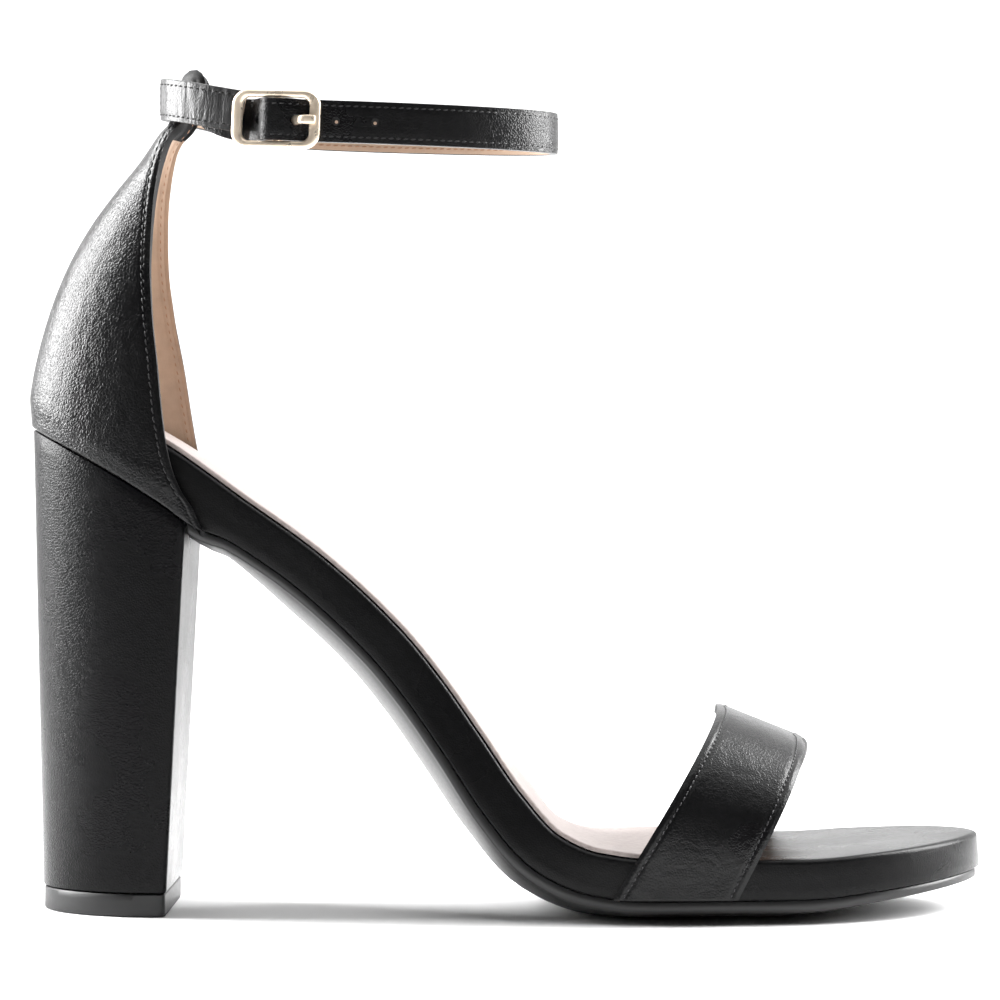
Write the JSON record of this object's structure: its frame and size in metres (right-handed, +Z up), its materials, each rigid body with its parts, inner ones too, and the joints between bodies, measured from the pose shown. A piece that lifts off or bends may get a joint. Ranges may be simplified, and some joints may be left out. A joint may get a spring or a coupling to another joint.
{
  "type": "ankle-strap block-heel sandal",
  "caption": "Open-toe black leather sandal with a tall block heel, closed heel counter, wide toe strap and buckled ankle strap.",
  "frame": {"origin": "centre of the footprint of the whole shoe, on the floor", "axes": "+X towards the toe, +Y towards the inner side of the foot, +Z up"},
  "size_m": [0.222, 0.0816, 0.1953],
  "materials": {
    "upper_leather": "black leather, satin with a fine grain",
    "sole_rubber": "black rubber, satin",
    "sock_lining": "pale pink-beige lining, smooth and matt",
    "buckle_metal": "polished pale champagne gold"
  },
  "bodies": {
    "root": {"outsole": "sole_rubber", "platform": "upper_leather", "insole": "sock_lining", "heel_block": "upper_leather", "heel_cap": "sole_rubber", "counter": "upper_leather", "toe_strap": "upper_leather", "ankle_strap": "upper_leather", "buckle_strap": "upper_leather", "buckle_frame": "buckle_metal", "buckle_prong": "buckle_metal"}
  },
  "joints": []
}
